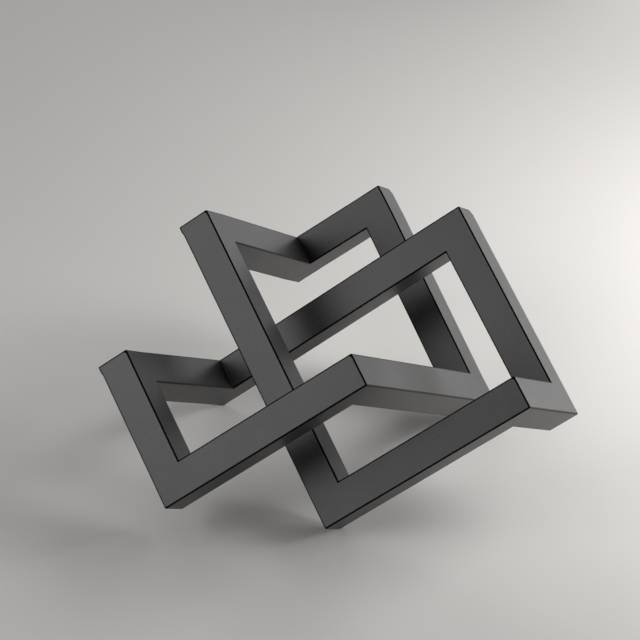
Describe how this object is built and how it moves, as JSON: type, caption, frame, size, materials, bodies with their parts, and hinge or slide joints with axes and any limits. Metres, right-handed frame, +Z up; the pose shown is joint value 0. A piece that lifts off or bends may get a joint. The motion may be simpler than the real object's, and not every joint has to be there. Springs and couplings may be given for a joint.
{
  "type": "abstract metal sculpture",
  "caption": "Table-top abstract sculpture of square steel tube bent in mitred right angles into a closed trefoil knot, standing on corners.",
  "frame": {"origin": "on the table, under the middle of the sculpture's outline seen from above", "axes": "+Z up, +X along the line from the left back foot to the right back foot, +Y to the back, away from the front foot"},
  "size_m": [0.2756, 0.253, 0.1467],
  "materials": {
    "powder_coat": "matte dark grey powder coat"
  },
  "bodies": {
    "root": {"knot": "powder_coat"}
  },
  "joints": []
}
